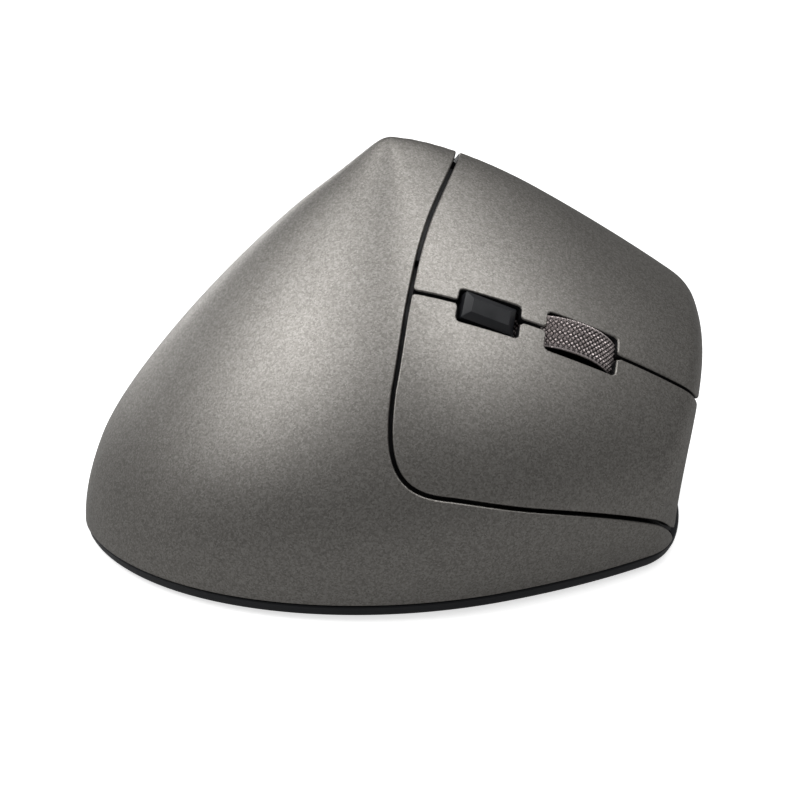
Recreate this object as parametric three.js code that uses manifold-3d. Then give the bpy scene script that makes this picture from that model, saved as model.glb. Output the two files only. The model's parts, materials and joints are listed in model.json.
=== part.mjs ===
// A right-handed upright computer mouse, in millimetres. +X is the finger side, +Y the nose, +Z up.
import * as THREE from 'three';
import { mergeVertices } from 'three/addons/utils/BufferGeometryUtils.js';
import Module from 'manifold-3d';

const wasm = await Module();
wasm.setup();

// ------------------------------------------------------------------ driving dimensions

// The dome is a stack of egg-shaped slices. Each list runs from the foot to PROFILE_HEIGHT and
// gives the control heights of a Bezier curve.
const PROFILE_HEIGHT = 79;
const FINGER_REACH = [38.8, 46.9, 41.7, 8.6, -25.9];
const REAR_REACH = [59.2, 61.9, 36.5, 28.6, -16.1];
const FRONT_REACH = [78, 92.6, 60.9, 34.7, 0.6];
const DOME_AXIS_X = [-9.9, -18.9];
const THUMB_HALF_WIDTH = 36;
const TOP_ROUNDING = 14;

// The crown is a sheet that rounds off the top and slopes down to the thumb side.
const CROWN = { height: 76.3, slope: 0.1, rounding: 14 };

// The nose is a sheet that leans forward with height and curves back to both sides.
const NOSE = { y: 52.8, lean: 0.13, curve: 0.01, x: -4, z: 20 };

// The thumb wall is upright near the ridge and flares out into a thumb rest, down to flareZ.
const THUMB = { x: -13.3, yaw: 0.2, flare: 22, flareZ: 4, flareFade: 13, rounding: 8 };

// The whole mouse is moved so that its bounding box stands over the origin.
const BOX_CENTRE = { x: 1.8, y: -2.1 };

const SHELL = 2;
const SEAM = 0.65;
const GAP = 0.3;
const CORE_INSET = 3.7;
const CORE_WALL = 2;
const CORE_NOSE_RECESS = 1.7;

const BASE = { bottom: 0.6, top: 2.6, inset: 0.5 };
const SHELL_FOOT = 2.9;

const BUTTON_SEAM_Q = 22.1;
const DPI_SLOT = { p: -11.2, q: 21.6, length: 11.4, width: 6.6, corner: 1 };
const WHEEL_SLOT = { p: 6.5, q: 21.9, length: 14.2, width: 7.9, corner: 1.5 };
const WHEEL = { p: 5.5, radius: 11.4, width: 6.2, proud: 1.6, rim: 3.3, axle: 1.2 };
const BOARD = { n: 29, thickness: 1.6 };
const MAIN_BOARD = { z: 6.2, thickness: 1.4 };
const BATTERY = { x: 12, y: -10, z: 11.2, radius: 7.2, length: 49 };
const RECEIVER = { x: -13, y: -34, width: 14.4, length: 19, height: 5.6 };
const POWER_SWITCH = { x: 22, y: 29, travel: 2.5 };
const SIDE_BUTTONS = { y: 11, z: 42.4, slope: -0.198, length: 19.1, height: 7, pitch: 19.8, proud: 1.2 };

const PAINT = { color: 0x93908b, roughness: 0.42, metalness: 0.75 };
const BLACK = { color: 0x1b1c1e, roughness: 0.5, metalness: 0 };
const GLOSS_BLACK = { color: 0x222326, roughness: 0.25, metalness: 0 };
const GRIP = { color: 0x2c2c2e, roughness: 0.85, metalness: 0 };
const STEEL = { color: 0xb9babc, roughness: 0.3, metalness: 1 };
const WHEEL_METAL = { color: 0x9a8f8e, roughness: 0.35, metalness: 0.9 };
const WHITE_PLASTIC = { color: 0xd8d8d2, roughness: 0.5, metalness: 0 };
const CIRCUIT = { color: 0x1d5a3a, roughness: 0.6, metalness: 0 };
const BRASS = { color: 0xb58a45, roughness: 0.35, metalness: 1 };
const CLEAR = { color: 0xd9e4ea, roughness: 0.1, metalness: 0 };
const BATTERY_SLEEVE = { color: 0x3d6f8f, roughness: 0.35, metalness: 0.3 };
const RIBBON = { color: 0xd8b36a, roughness: 0.5, metalness: 0 };

const ROUND = 24;
const SMALL_ROUND = 12;

// ------------------------------------------------------------------ meshes and solids

const mouse = new THREE.Group();

function addPart(name, geometry, finish) {
  const mesh = new THREE.Mesh(geometry, new THREE.MeshStandardMaterial(finish));
  mesh.name = name;
  mouse.add(mesh);
}

function solidOf(geometry) {
  const bare = geometry.clone();
  bare.deleteAttribute('normal');
  bare.deleteAttribute('uv');
  const merged = mergeVertices(bare, 1e-3);
  return new wasm.Manifold(new wasm.Mesh({
    numProp: 3,
    vertProperties: new Float32Array(merged.attributes.position.array),
    triVerts: new Uint32Array(merged.index.array),
  }));
}

function geometryOf(solid) {
  const { vertProperties, triVerts, numProp } = solid.getMesh();
  const geometry = new THREE.BufferGeometry();
  const positions = [];
  for (let i = 0; i < vertProperties.length; i += numProp) {
    positions.push(vertProperties[i], vertProperties[i + 1], vertProperties[i + 2]);
  }
  geometry.setAttribute('position', new THREE.Float32BufferAttribute(positions, 3));
  geometry.setIndex([...triVerts]);
  geometry.computeVertexNormals();
  return geometry;
}

function addSolid(name, solid, finish) {
  addPart(name, geometryOf(solid), finish);
}

// ------------------------------------------------------------------ outer form

function bezier(values, t) {
  let row = values;
  while (row.length > 1) {
    row = row.slice(1).map((next, i) => THREE.MathUtils.lerp(row[i], next, t));
  }
  return row[0];
}

function smoothMax(a, b, rounding) {
  const share = THREE.MathUtils.clamp(0.5 + (0.5 * (a - b)) / rounding, 0, 1);
  return b + (a - b) * share + rounding * share * (1 - share);
}

// How far a slice reaches from its axis. The reach runs out gently towards the top.
function sliceReach(values, t, axis = 0) {
  return Math.max(smoothMax(bezier(values, t) - axis, 0, TOP_ROUNDING), 1);
}

// Each field is negative inside, zero on the surface and close to millimetres near it.
function domeField(point) {
  const t = point.z / PROFILE_HEIGHT;
  const domeScale = 40;
  if (t > 1.15) return domeScale;
  const axisX = bezier(DOME_AXIS_X, t);
  const offset = point.x - axisX;
  const half = offset > 0 ? sliceReach(FINGER_REACH, t, axisX) : THUMB_HALF_WIDTH;
  const reach = sliceReach(point.y > 0 ? FRONT_REACH : REAR_REACH, t);
  const dome = domeScale * (Math.hypot(offset / half, point.y / reach) - 1);
  const crown = point.z - CROWN.slope * point.x - CROWN.height;
  return smoothMax(dome, crown, CROWN.rounding);
}

function thumbField(point) {
  const height = smoothMax(point.z, THUMB.flareZ, 6);
  const flare = THUMB.flare * Math.exp((THUMB.flareZ - height) / THUMB.flareFade);
  return 0.8 * (THUMB.x + THUMB.yaw * point.y - flare - point.x);
}

function bodyField(point) {
  const belowFoot = 6;
  return Math.max(smoothMax(domeField(point), thumbField(point), THUMB.rounding), -belowFoot - point.z);
}

// The body is star-shaped as seen from this point inside it.
const HEART = new THREE.Vector3(2, -2, 14.5);

function surfacePoint(direction) {
  let inside = 0;
  let outside = 160;
  const point = new THREE.Vector3();
  for (let step = 0; step < 24; step += 1) {
    const middle = (inside + outside) / 2;
    point.copy(HEART).addScaledVector(direction, middle);
    if (bodyField(point) < 0) inside = middle;
    else outside = middle;
  }
  return point;
}

function surfaceNormal(point) {
  const step = 0.05;
  const slope = ['x', 'y', 'z'].map((axis) => {
    const ahead = point.clone();
    const behind = point.clone();
    ahead[axis] += step;
    behind[axis] -= step;
    return bodyField(ahead) - bodyField(behind);
  });
  return new THREE.Vector3(...slope).normalize();
}

// A direction from the heart: turn is measured about the length of the mouse from straight up
// towards the finger side, and pitch runs from the rear (-90 degrees) to the nose.
function directionAt(turn, pitch) {
  const across = Math.sin(turn) * Math.cos(pitch);
  const up = Math.cos(turn) * Math.cos(pitch);
  return new THREE.Vector3(across, Math.sin(pitch), up)
    .applyAxisAngle(new THREE.Vector3(0, 0, 1), -Math.atan(THUMB.yaw));
}

function ridgeTurn(pitch) {
  let thumbSide = -1.7;
  let fingerSide = 0.3;
  for (let step = 0; step < 24; step += 1) {
    const middle = (thumbSide + fingerSide) / 2;
    const point = surfacePoint(directionAt(middle, pitch));
    if (thumbField(point) > domeField(point)) thumbSide = middle;
    else fingerSide = middle;
  }
  return (thumbSide + fingerSide) / 2;
}

// Everything behind the nose sheet, moved forward by shift.
function behindNose(shift) {
  const reach = 60;
  const curve = [];
  for (let x = reach; x >= -reach; x -= 4) {
    curve.push(new THREE.Vector2(x, NOSE.y + shift - NOSE.curve * (x - NOSE.x) ** 2));
  }
  const outline = new THREE.Shape([...curve, new THREE.Vector2(-reach, -90), new THREE.Vector2(reach, -90)]);
  const lean = new THREE.Matrix4().makeShear(0, 0, 0, 0, 0, NOSE.lean);
  return solidOf(extrude(outline, 120).translate(0, 0, -10 - NOSE.z).applyMatrix4(lean).translate(0, 0, NOSE.z));
}

// The dome and thumb wall as a closed solid, pulled in by inset. One line of the mesh follows
// the ridge.
const RING_STEPS = 48;
const LENGTH_STEPS = 30;

function bodySolid(inset) {
  const sphere = new THREE.SphereGeometry(1, RING_STEPS, LENGTH_STEPS);
  const positions = sphere.attributes.position;
  const onSphere = new THREE.Vector3();
  for (let i = 0; i < positions.count; i += 1) {
    onSphere.fromBufferAttribute(positions, i);
    const pitch = Math.asin(THREE.MathUtils.clamp(onSphere.y, -1, 1));
    const evenTurn = Math.atan2(onSphere.x, onSphere.z);
    const turn = evenTurn + ridgeTurn(pitch) * Math.cos(evenTurn / 2) ** 2;
    const direction = directionAt(turn, pitch);
    const point = surfacePoint(direction);
    const facing = Math.max(surfaceNormal(point).dot(direction), 0.3);
    point.addScaledVector(direction, -inset / facing);
    positions.setXYZ(i, point.x, point.y, point.z);
  }
  return solidOf(sphere);
}

// ------------------------------------------------------------------ working planes

// The finger frame: p runs along the seam between the buttons to the nose, q towards the ridge
// and n out of the finger side.
const nAxis = new THREE.Vector3(0.78, 0.12, 0.61).normalize();
const pAxis = new THREE.Vector3(0.19, 0.89, -0.41).projectOnPlane(nAxis).normalize();
const qAxis = new THREE.Vector3().crossVectors(nAxis, pAxis);
const FINGER_FRAME = new THREE.Matrix4().makeBasis(pAxis, qAxis, nAxis);

function extrude(shape, depth, options = {}) {
  return new THREE.ExtrudeGeometry(shape, { depth, bevelEnabled: false, curveSegments: 3, ...options });
}

function fingerPrism(shape, from, to) {
  return solidOf(extrude(shape, to - from).translate(0, 0, from).applyMatrix4(FINGER_FRAME));
}

function fingerBox(p, q, n, length, width, height) {
  return solidOf(new THREE.BoxGeometry(length, width, height).translate(p, q, n).applyMatrix4(FINGER_FRAME));
}

function fingerPin(p, q, from, to, radius) {
  const pin = new THREE.CylinderGeometry(radius, radius, to - from, SMALL_ROUND);
  pin.rotateX(Math.PI / 2).translate(p, q, (from + to) / 2);
  return solidOf(pin.applyMatrix4(FINGER_FRAME));
}

function floorPrism(shape, from, to) {
  return solidOf(extrude(shape, to - from).translate(0, 0, from));
}

function box(x, y, z, width, length, height) {
  return solidOf(new THREE.BoxGeometry(width, length, height).translate(x, y, z));
}

function post(x, y, from, to, radius) {
  const cylinder = new THREE.CylinderGeometry(radius, radius, to - from, SMALL_ROUND);
  return solidOf(cylinder.rotateX(Math.PI / 2).translate(x, y, (from + to) / 2));
}

// The side frame: along the thumb wall towards the nose, up, and depth inwards from the wall.
const wallYaw = Math.atan(THUMB.yaw);
const SIDE_FRAME = new THREE.Matrix4().makeBasis(
  new THREE.Vector3(Math.sin(wallYaw), Math.cos(wallYaw), 0),
  new THREE.Vector3(0, 0, 1),
  new THREE.Vector3(Math.cos(wallYaw), -Math.sin(wallYaw), 0),
).setPosition(THUMB.x, 0, 0);

function sidePrism(shape, from, to) {
  return solidOf(extrude(shape, to - from).translate(0, 0, from).applyMatrix4(SIDE_FRAME));
}

// The row of side buttons slopes down to the nose.
function onSideRow(geometry) {
  return geometry.rotateZ(Math.atan(SIDE_BUTTONS.slope))
    .translate(SIDE_BUTTONS.y, SIDE_BUTTONS.z, 0)
    .applyMatrix4(SIDE_FRAME);
}

function sideButtonPrism(shape, along, from, to) {
  return solidOf(onSideRow(extrude(shape, to - from).translate(along, 0, from)));
}

function roundedRectangle(x, y, length, width, corner) {
  const shape = new THREE.Shape();
  const dx = length / 2 - corner;
  const dy = width / 2 - corner;
  shape.absarc(x + dx, y + dy, corner, 0, Math.PI / 2);
  shape.absarc(x - dx, y + dy, corner, Math.PI / 2, Math.PI);
  shape.absarc(x - dx, y - dy, corner, Math.PI, 1.5 * Math.PI);
  shape.absarc(x + dx, y - dy, corner, 1.5 * Math.PI, 2 * Math.PI);
  return shape;
}

function slotOutline(slot, grow = 0) {
  const { p, q, length, width, corner } = slot;
  return roundedRectangle(p, q, length + 2 * grow, width + 2 * grow, corner + grow / 2);
}

// Moves a closed counter-clockwise outline outwards by distance.
function grown(shape, distance) {
  const points = shape.getPoints(8);
  if (points[0].distanceTo(points[points.length - 1]) < 1e-6) points.pop();
  const moved = points.map((point, i) => {
    const before = points[(i + points.length - 1) % points.length];
    const after = points[(i + 1) % points.length];
    const arriving = point.clone().sub(before).normalize();
    const leaving = after.clone().sub(point).normalize();
    const outward = new THREE.Vector2(arriving.y + leaving.y, -arriving.x - leaving.x);
    const stretch = distance / Math.max(1 + arriving.dot(leaving), 0.5);
    return point.clone().addScaledVector(outward, stretch);
  });
  return new THREE.Shape(moved);
}

// The distance n from the frame's origin to the outer surface above a point of the finger frame.
function surfaceHeight(p, q) {
  let inside = 26;
  let outside = 70;
  for (let step = 0; step < 24; step += 1) {
    const middle = (inside + outside) / 2;
    if (bodyField(new THREE.Vector3(p, q, middle).applyMatrix4(FINGER_FRAME)) < 0) inside = middle;
    else outside = middle;
  }
  return inside;
}

// ------------------------------------------------------------------ outlines of the panels

// The field that both finger buttons fill, in p and q.
function buttonField() {
  const shape = new THREE.Shape();
  shape.moveTo(48, 62);
  shape.lineTo(-17, 62);
  shape.splineThru([[-23.4, 38.5], [-25, 21], [-24.4, 3]].map(([p, q]) => new THREE.Vector2(p, q)));
  shape.bezierCurveTo(-23.4, -7, -21, -14.4, -11.5, -12.9);
  shape.splineThru([[4.4, -9.9], [34.8, -0.6], [48, 3.4]].map(([p, q]) => new THREE.Vector2(p, q)));
  return shape;
}

// The thumb panel's outline, along the thumb wall and up.
function thumbOutline() {
  const shape = new THREE.Shape();
  shape.moveTo(62, -3);
  shape.lineTo(62, 62);
  shape.lineTo(10, 62);
  shape.lineTo(10, 57.5);
  shape.splineThru([[-18, 51], [-37, 36], [-45.5, 15], [-48, -3]].map(([y, z]) => new THREE.Vector2(y, z)));
  return shape;
}

const LIP_DEPTH = 29;
const LIP_GAP = 0.9;
const OUTSIDE = 75;
const WHEEL_CENTRE_N = surfaceHeight(WHEEL.p, WHEEL_SLOT.q) + WHEEL.proud - WHEEL.radius;

function wheelWell(radius, width) {
  const drum = new THREE.CylinderGeometry(radius, radius, width, 40);
  return solidOf(drum.translate(WHEEL.p, WHEEL_SLOT.q, WHEEL_CENTRE_N).applyMatrix4(FINGER_FRAME));
}

// ------------------------------------------------------------------ shells and buttons

const outerBody = bodySolid(0).intersect(behindNose(0));
const aboveFoot = box(0, 0, SHELL_FOOT + 60, 200, 200, 120);
const shell = outerBody.subtract(bodySolid(SHELL)).intersect(aboveFoot);
const buttonHole = fingerPrism(grown(buttonField(), SEAM / 2), LIP_DEPTH - LIP_GAP, OUTSIDE);
const BOSSES = {
  palm: [[15, -43.5], [-16, -49]],
  core: [[-10.5, 43], [31, 16.5]],
};
const BOSS = { radius: 3, bore: 1.35, boreTop: 11 };

function withBosses(solid, places, room) {
  return places.reduce((joined, [x, y]) => {
    const column = post(x, y, SHELL_FOOT + 0.4, 75, BOSS.radius).intersect(room);
    return joined.add(column).subtract(post(x, y, 0, BOSS.boreTop, BOSS.bore));
  }, solid);
}

function addPalmShell() {
  const thumbHole = sidePrism(grown(thumbOutline(), SEAM / 2), -70, SHELL * 1.7);
  const skin = shell.subtract(buttonHole).subtract(thumbHole);
  addSolid('palm_shell', withBosses(skin, BOSSES.palm, bodySolid(SHELL / 2).intersect(behindNose(0))), PAINT);
}

function addFingerButtons() {
  const field = fingerPrism(grown(buttonField(), -SEAM / 2), LIP_DEPTH, OUTSIDE);
  const well = wheelWell(WHEEL.radius + 0.35, WHEEL_SLOT.width);
  const plate = shell.intersect(field)
    .subtract(fingerPrism(slotOutline(DPI_SLOT), 20, OUTSIDE))
    .subtract(fingerPrism(slotOutline(WHEEL_SLOT), 20, OUTSIDE))
    .subtract(well);
  const half = 60;
  const shift = half / 2 + SEAM / 2;
  const left = plate.intersect(fingerBox(0, BUTTON_SEAM_Q + shift, 50, 160, half, 80));
  const right = plate.intersect(fingerBox(0, BUTTON_SEAM_Q - shift, 50, 160, half, 80));
  addSolid('left_button', left, PAINT);
  addSolid('right_button', right, PAINT);
}

function addThumbPanel() {
  const panel = shell.intersect(sidePrism(thumbOutline(), -70, SHELL * 1.7)).subtract(buttonHole);
  const slotLength = SIDE_BUTTONS.pitch + SIDE_BUTTONS.length + 2 * SEAM;
  const slot = roundedRectangle(0, 0, slotLength, SIDE_BUTTONS.height + 2 * SEAM, 2.4);
  addSolid('thumb_panel', panel.subtract(sideButtonPrism(slot, 0, -20, 6)), GRIP);
}

function addSideButtons() {
  const layer = bodySolid(-SIDE_BUTTONS.proud).subtract(bodySolid(SHELL + 0.6));
  const outline = roundedRectangle(0, 0, SIDE_BUTTONS.length, SIDE_BUTTONS.height, 2);
  const along = SIDE_BUTTONS.pitch / 2;
  addSolid('forward_side_button', layer.intersect(sideButtonPrism(outline, along, -20, 6)), GLOSS_BLACK);
  addSolid('back_side_button', layer.intersect(sideButtonPrism(outline, -along, -20, 6)), GLOSS_BLACK);
}

// The dark frame behind the buttons, with the front wall of the nose.
function addNoseCore() {
  const outside = bodySolid(CORE_INSET).intersect(behindNose(-CORE_NOSE_RECESS));
  const inside = bodySolid(CORE_INSET + CORE_WALL).intersect(behindNose(-CORE_NOSE_RECESS - CORE_WALL));
  const behindButtons = fingerPrism(grown(buttonField(), 1.5), 31, OUTSIDE);
  const noseBlock = box(0, 68, 40, 120, 60, 90);
  const wall = outside.subtract(inside)
    .intersect(behindButtons.add(noseBlock))
    .intersect(box(0, 0, SHELL_FOOT + 60.4, 200, 200, 120));
  const opened = wall
    .subtract(fingerPrism(slotOutline(WHEEL_SLOT, 0.4), 20, OUTSIDE))
    .subtract(wheelWell(WHEEL.radius + 0.6, WHEEL_SLOT.width + 0.8))
    .subtract(fingerPin(DPI_SLOT.p, DPI_SLOT.q, 20, OUTSIDE, 2.3));
  const drilled = MICRO_SWITCHES.reduce(
    (solid, { p, q }) => solid.subtract(fingerPin(p, q, 20, OUTSIDE, 1.9)), opened,
  );
  addSolid('nose_core', withBosses(drilled, BOSSES.core, outside), BLACK);
}

// ------------------------------------------------------------------ buttons' switches and board

const MICRO_SWITCHES = [
  { name: 'left', p: 15, q: 30.4 },
  { name: 'right', p: 15, q: 8.8 },
];
const MICRO = { length: 12.8, width: 5.8, height: 6.5, stemRadius: 1.2, bore: 1.5, seat: 2.2 };

function addMicroSwitches() {
  const bottom = BOARD.n + BOARD.thickness + GAP;
  const top = bottom + MICRO.height;
  MICRO_SWITCHES.forEach(({ name, p, q }) => {
    const body = fingerBox(p, q, bottom + MICRO.height / 2, MICRO.length, MICRO.width, MICRO.height);
    addSolid(`${name}_switch`, body.subtract(fingerPin(p, q, top - MICRO.seat, top + 1, MICRO.bore)), BLACK);
    const reach = surfaceHeight(p, q) - SHELL * 1.2 - 0.45;
    addSolid(`${name}_plunger`, fingerPin(p, q, top - MICRO.seat + 1, reach, MICRO.stemRadius), WHITE_PLASTIC);
  });
}

const TACT = { size: 5, height: 2.6 };
const DPI_SWITCH_P = DPI_SLOT.p - 0.4;
const CARRIER = { p: 5.2, length: 29.2, width: 9.8, opening: 25, bar: 1.3, half: 1.7 };
const WHEEL_SWITCH_P = CARRIER.p + 13.6;

function addTactSwitch(name, p, q) {
  const bottom = BOARD.n + BOARD.thickness + GAP;
  addSolid(name, fingerBox(p, q, bottom + TACT.height / 2, TACT.size, TACT.size, TACT.height), BLACK);
}

function addDpiButton() {
  const top = surfaceHeight(DPI_SLOT.p, DPI_SLOT.q) + 0.5;
  const bevel = 0.9;
  const depth = 2.6;
  const outline = roundedRectangle(DPI_SLOT.p, DPI_SLOT.q, DPI_SLOT.length - 1.4 - 2 * bevel,
    DPI_SLOT.width - 1.4 - 2 * bevel, 0.5);
  const cap = extrude(outline, depth - bevel, {
    bevelEnabled: true, bevelThickness: bevel, bevelSize: bevel, bevelSegments: 1, curveSegments: 2,
  });
  cap.translate(0, 0, top - depth).applyMatrix4(FINGER_FRAME);
  const foot = fingerPrism(roundedRectangle(DPI_SLOT.p, DPI_SLOT.q, 12, 8, 1), top - 8, top - depth);
  const stemFoot = BOARD.n + BOARD.thickness + GAP + TACT.height + 0.9;
  const stem = fingerPin(DPI_SLOT.p, DPI_SLOT.q, stemFoot, top - 1.5, 1.6);
  addSolid('dpi_button', solidOf(cap).subtract(foot).add(stem), GLOSS_BLACK);
  addTactSwitch('dpi_switch', DPI_SWITCH_P, DPI_SLOT.q);
}

function addButtonBoard() {
  const outline = new THREE.Shape([
    [-18, 5.7], [25, 5.7], [25, 33.7], [7.3, 33.7], [7.3, 25.2], [-18, 25.2],
  ].map(([p, q]) => new THREE.Vector2(p, q)));
  const board = fingerPrism(outline, BOARD.n, BOARD.n + BOARD.thickness);
  addSolid('button_board', board.subtract(wheelWell(WHEEL.radius + 1.2, WHEEL.width + 3)), CIRCUIT);
}

// ------------------------------------------------------------------ scroll wheel

function lathe(profile, segments = ROUND) {
  return new THREE.LatheGeometry(profile.map(([r, y]) => new THREE.Vector2(r, y)), segments);
}

// Lathed parts of the wheel turn about q.
function atWheel(geometry) {
  return geometry.translate(WHEEL.p, WHEEL_SLOT.q, WHEEL_CENTRE_N).applyMatrix4(FINGER_FRAME);
}

function addScrollWheel() {
  const half = WHEEL.width / 2;
  const outer = WHEEL.radius;
  const inner = WHEEL.radius - WHEEL.rim;
  const soft = 0.5;
  const ring = lathe([
    [inner, -half], [outer - soft, -half], [outer, soft - half], [outer, half - soft],
    [outer - soft, half], [inner, half], [inner, -half],
  ], 36);
  addPart('scroll_wheel', atWheel(ring), WHEEL_METAL);
  const hubRadius = inner - GAP;
  const axleEnd = CARRIER.width / 2 - GAP;
  const hub = lathe([
    [0, -axleEnd], [WHEEL.axle, -axleEnd], [WHEEL.axle, -half - 0.3], [3, -half - 0.3], [3, -1.2],
    [hubRadius - 1, -1.2], [hubRadius - 1, -half + 0.4], [hubRadius, -half + 0.4],
    [hubRadius, half - 0.4], [hubRadius - 1, half - 0.4], [hubRadius - 1, 1.2], [3, 1.2],
    [3, half + 0.3], [WHEEL.axle, half + 0.3], [WHEEL.axle, axleEnd], [0, axleEnd],
  ]);
  addPart('wheel_hub', atWheel(hub), BLACK);
}

function addWheelCarrier() {
  const { q } = WHEEL_SLOT;
  const n = WHEEL_CENTRE_N;
  const frame = fingerBox(CARRIER.p, q, n, CARRIER.length, CARRIER.width, 2 * CARRIER.half)
    .subtract(fingerBox(CARRIER.p, q, n, CARRIER.opening, CARRIER.width - 2 * CARRIER.bar, 10));
  const axleHole = new THREE.CylinderGeometry(WHEEL.axle + 0.08, WHEEL.axle + 0.08, 20, SMALL_ROUND * 2);
  const switchTop = BOARD.n + BOARD.thickness + GAP + TACT.height;
  const lugBottom = switchTop + 0.7;
  const lug = fingerBox(WHEEL_SWITCH_P, q, (lugBottom + n) / 2, 2, 3, n - lugBottom);
  addSolid('wheel_carrier', frame.add(lug).subtract(solidOf(atWheel(axleHole))), WHITE_PLASTIC);
  addTactSwitch('wheel_switch', WHEEL_SWITCH_P, q);
  addSolid('wheel_encoder', fingerBox(WHEEL.p, q - 7.7, BOARD.n + BOARD.thickness + GAP + 4, 10, 4.6, 8), BLACK);
}

class Helix extends THREE.Curve {
  constructor(radius, height, turns) {
    super();
    this.radius = radius;
    this.height = height;
    this.turns = turns;
  }

  getPoint(t, target = new THREE.Vector3()) {
    const angle = t * this.turns * 2 * Math.PI;
    return target.set(this.radius * Math.cos(angle), this.radius * Math.sin(angle), t * this.height);
  }
}

function coil(radius, wire, height, turns) {
  const section = new THREE.Shape().absarc(0, 0, wire, 0, 2 * Math.PI);
  return new THREE.ExtrudeGeometry(section, {
    extrudePath: new Helix(radius, height, turns), steps: turns * 9, curveSegments: 3, bevelEnabled: false,
  });
}

function addCarrierSpring() {
  const bottom = BOARD.n + BOARD.thickness + 0.5;
  const top = WHEEL_CENTRE_N - CARRIER.half - 0.95;
  const p = CARRIER.p - CARRIER.length / 2 + 2.2;
  const spring = coil(1.1, 0.2, top - bottom, 4).translate(p, WHEEL_SLOT.q, bottom);
  addPart('carrier_spring', spring.applyMatrix4(FINGER_FRAME), STEEL);
}

// ------------------------------------------------------------------ side switches

function addSideSwitches() {
  [['forward_switch', 1], ['back_switch', -1]].forEach(([name, side]) => {
    const body = new THREE.BoxGeometry(6, 5, 1.6).translate((side * SIDE_BUTTONS.pitch) / 2, 0, 4.3);
    addPart(name, onSideRow(body), BLACK);
  });
  addPart('side_board', onSideRow(new THREE.BoxGeometry(30, 7, 1.2).translate(0, 0, 6.1)), CIRCUIT);
}

// ------------------------------------------------------------------ main board and sensor

const SENSOR = { x: -10, y: 8 };

function addMainBoard() {
  const { z, thickness } = MAIN_BOARD;
  addSolid('main_board', floorPrism(roundedRectangle(-9, 4, 16, 52, 2), z, z + thickness), CIRCUIT);
  const onTop = z + thickness + GAP;
  addPart('controller_chip', new THREE.BoxGeometry(7, 7, 1).translate(-9, 21, onTop + 0.5), BLACK);
  addPart('radio_chip', new THREE.BoxGeometry(5, 5, 0.9).translate(-9, -8, onTop + 0.45), BLACK);
  addPart('sensor_chip', new THREE.BoxGeometry(10, 12, 1.2).translate(SENSOR.x, SENSOR.y, z - GAP - 0.6), BLACK);
  const lens = lathe([[0, 1.2], [2.6, 1.2], [2.6, 2.9], [4.6, 2.9], [4.6, 4.2], [1.6, 4.2], [0, 3.7]], 20);
  addPart('sensor_lens', lens.rotateX(Math.PI / 2).translate(SENSOR.x, SENSOR.y, 0), CLEAR);
}

function addRibbonCable() {
  const curve = new THREE.CatmullRomCurve3([
    [-3, 22.5, 8.3], [3, 22.5, 9], [10, 22.5, 11.8], [15.5, 22.5, 16.2],
  ].map((point) => new THREE.Vector3(...point)));
  const section = new THREE.Shape([[-4, -0.2], [4, -0.2], [4, 0.2], [-4, 0.2]]
    .map(([a, b]) => new THREE.Vector2(a, b)));
  addPart('ribbon_cable', new THREE.ExtrudeGeometry(section, {
    extrudePath: curve, steps: 10, bevelEnabled: false,
  }), RIBBON);
}

// ------------------------------------------------------------------ base, power and underside

const DOOR = { length: 54, width: 17, corner: 2, clearance: 0.3 };
const FEET = [
  { name: 'front_foot', x: 6, y: 41.5, length: 22, width: 5 },
  { name: 'rear_foot', x: -1, y: -49, length: 18, width: 5 },
  { name: 'thumb_foot', x: -25.5, y: -3, length: 5, width: 22 },
  { name: 'finger_foot', x: 32, y: 0, length: 5, width: 22 },
];
const FOOT = { bottom: 0, top: 0.95, recess: 1.25 };
const SCREW = { headRadius: 2.2, headTop: 1.9, shank: 1.1, top: 9.5 };

function footOutline({ x, y, length, width }, grow) {
  return roundedRectangle(x, y, length + grow, width + grow, Math.min(length, width) / 2 - 0.2);
}

function receiverPocket(grow, top) {
  return box(RECEIVER.x, RECEIVER.y, top / 2, RECEIVER.width + grow, RECEIVER.length + grow, top);
}

function addBasePlate() {
  const slab = bodySolid(BASE.inset).intersect(behindNose(-BASE.inset))
    .intersect(box(0, 0, (BASE.bottom + BASE.top) / 2, 200, 200, BASE.top - BASE.bottom));
  const doorHole = roundedRectangle(BATTERY.x, BATTERY.y, DOOR.width, DOOR.length, DOOR.corner);
  const wall = 1.2;
  const pocketTop = RECEIVER.height + BASE.bottom + 0.8;
  let plate = slab
    .subtract(floorPrism(doorHole, 0, 4))
    .add(receiverPocket(2 * wall + 0.8, pocketTop + wall).intersect(box(0, 0, 30, 200, 200, 58.8)))
    .subtract(receiverPocket(0.8, pocketTop))
    .subtract(post(SENSOR.x, SENSOR.y, 0, 4, 3))
    .subtract(box(POWER_SWITCH.x, POWER_SWITCH.y, 1.5, 3.6, 7, 4));
  FEET.forEach((foot) => {
    plate = plate.subtract(floorPrism(footOutline(foot, 0.6), 0, FOOT.recess));
  });
  [...BOSSES.palm, ...BOSSES.core].forEach(([x, y]) => {
    plate = plate.subtract(post(x, y, 0, SCREW.headTop + GAP, SCREW.headRadius + GAP))
      .subtract(post(x, y, 0, 4, SCREW.shank + GAP));
  });
  addSolid('base_plate', plate, BLACK);
}

function addFeet() {
  FEET.forEach((foot) => {
    addSolid(foot.name, floorPrism(footOutline(foot, 0), FOOT.bottom, FOOT.top), BLACK);
  });
}

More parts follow.
